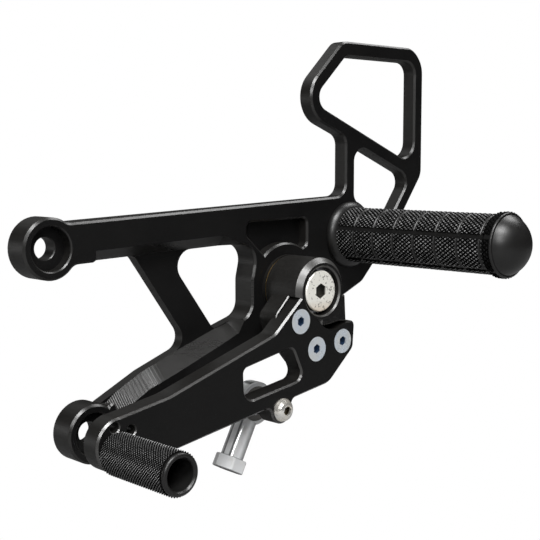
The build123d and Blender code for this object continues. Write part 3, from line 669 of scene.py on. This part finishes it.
def stage():
    """Flat floor below the part: plain white to the camera, pale grey to every other ray."""
    m = Material("pale_stage")
    cloud = m.noise(2, 2, 0.5)
    m.set(Base_Color=m.mix(cloud, (0.30, 0.30, 0.30), (0.27, 0.27, 0.27)), Roughness=0.9)
    emission = m.nodes.new("ShaderNodeEmission")
    emission.inputs["Strength"].default_value = 1.0
    paths = m.nodes.new("ShaderNodeLightPath")
    blend = m.nodes.new("ShaderNodeMixShader")
    out = m.nodes["Material Output"]
    m.link(paths.outputs["Is Camera Ray"], blend.inputs["Fac"])
    m.link(m.shader.outputs["BSDF"], blend.inputs[1])
    m.link(emission.outputs["Emission"], blend.inputs[2])
    m.link(blend.outputs["Shader"], out.inputs["Surface"])
    floor_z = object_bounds()[0].z - FLOOR_DROP
    mesh = bpy.data.meshes.new("floor")
    corners = [(-1, -1), (1, -1), (1, 1), (-1, 1)]
    mesh.from_pydata([(x * FLOOR_REACH, y * FLOOR_REACH, floor_z) for x, y in corners], [], [(0, 1, 2, 3)])
    mesh.materials.append(m.data)
    floor = bpy.data.objects.new("floor", mesh)
    bpy.context.scene.collection.objects.link(floor)
    floor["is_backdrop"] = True


def world():
    """White to the camera, and a faint even light to every other ray."""
    scene = bpy.context.scene
    scene.world = bpy.data.worlds.new("studio")
    scene.world.use_nodes = True
    nodes, links = scene.world.node_tree.nodes, scene.world.node_tree.links
    back = nodes["Background"]
    back.inputs["Color"].default_value = (1, 1, 1, 1)
    paths = nodes.new("ShaderNodeLightPath")
    strength = nodes.new("ShaderNodeMapRange")
    strength.inputs["To Min"].default_value = WORLD_LIGHT
    strength.inputs["To Max"].default_value = 1.0
    links.new(paths.outputs["Is Camera Ray"], strength.inputs["Value"])
    links.new(strength.outputs["Result"], back.inputs["Strength"])
    scene.view_settings.view_transform = "Standard"
    scene.view_settings.look = "None"


def camera():
    """Outboard of the part and to its left, looking slightly down."""
    data = bpy.data.cameras.new("camera")
    data.lens = CAMERA_LENS
    data.sensor_width = CAMERA_SENSOR
    data.clip_start, data.clip_end = 0.05, 30
    obj = bpy.data.objects.new("camera", data)
    bpy.context.scene.collection.objects.link(obj)
    obj.location = CAMERA_PLACE
    obj.rotation_euler = (CAMERA_TILT, 0, CAMERA_HEADING)
    bpy.context.scene.camera = obj


def lights():
    """A strong soft box overhead in front, weaker ones high on both sides, faint ones behind."""
    area("overhead_front", (-0.25, -0.55, 0.85), LIGHT_AIM, (0.5, 0.35), 15)
    area("front_left_high", (-0.60, -0.72, 0.45), LIGHT_AIM, (0.25, 0.3), 5)
    area("overhead_right", (0.75, -0.10, 0.85), LIGHT_AIM, (0.4, 0.5), 5)
    area("back_left_low", (-0.72, 0.85, -0.12), LIGHT_AIM, (0.3, 0.5), 2.6)
    area("overhead_back", (0.1, 0.7, 0.8), LIGHT_AIM, (0.8, 0.4), 1.5)


# ---------------------------------------------------------------- the object

def main():
    """Give every CAD node its material, then replace the two pegs with knurled ones."""
    black = black_anodised("black_anodised")
    axis = peg_axis()
    peg_knurl = knurled_black("peg_knurl_black", axis[0] * MM, axis[1] * MM,
                              (PEG_R - PEG_KNURL_DEPTH) * MM, (PEG_R - PEG_WEAR) * MM,
                              flare=(PEG_FLARE * MM, PEG_RIM * MM, 1.6 * (PEG_RIM_R - PEG_R) * MM))
    peg_turned = turned_black("peg_turned_black", axis[0] * MM, axis[1] * MM)
    toe = centre_of("toe_peg")
    toe_turned = turned_black("toe_turned_black", toe.x, toe.z)
    toe_knurl = knurled_black("toe_knurl_black", toe.x, toe.z, (TOE_R - TOE_KNURL_DEPTH) * MM,
                              (TOE_R - TOE_WEAR) * MM, (0.05, 0.10))
    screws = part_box("shift_arm_screws")[0].y
    zinc_plate = zinc("zinc")
    head = stainless()
    ground = steel()
    dress("bracket", black_anodised("bracket_anodised", edge_sheen_grey=(0.014, 0.0136, 0.013), glint=0.25,
                                    scallops=True))
    for node in ("shift_arm", "linkage_spacer"):
        dress(node, black)
    dress("shift_hub", black_anodised("hub_anodised", 0.38, (900, 160, 900), edge_sheen_grey=(0.045, 0.044, 0.042),
                                     worn_from=0.56))
    dress("foot_peg_end_cap", peg_turned)
    for node in ("foot_peg_bolt", "toe_peg_bolt", "linkage_nut"):
        dress(node, zinc_plate)
    dress("shift_arm_screws", zinc("arm_screw_zinc", (0.66, 0.72, 0.79), 0.3, 0.55, screws + 0.0002))
    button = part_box("linkage_bolt")[0].y
    dress("linkage_bolt", zinc("bolt_stainless", (0.86, 0.85, 0.82), 0.2, 0.8, button + 0.0009,
                               (0.10, 0.08, 0.05), 0.0025))
    dress("pivot_bolt", head)
    dress("pivot_thrust_washer", bronze())
    dress("rod_end_body", rod_end_zinc())
    dress("rod_end_liner", plastic("ptfe_liner", (0.16, 0.15, 0.14), 0.45))
    dress("linkage_nut_ring", plastic("nylon_ring", (0.12, 0.25, 0.60), 0.4))
    for node in ("foot_peg_dowel", "pivot_head_shim", "bearing_spacer", "rod_end_ball"):
        dress(node, ground)
    for side in ("inboard", "outboard"):
        for name in ("outer_race", "inner_race", "cage", "balls"):
            dress(f"{side}_bearing_{name}", ground)
        dress(f"{side}_bearing_shields", plastic(f"{side}_seal_rubber", (0.02, 0.02, 0.02), 0.6))
    foot_peg(peg_knurl, peg_turned)
    toe_peg(toe_knurl, toe_turned)


camera()
world()
stage()
lights()
main()
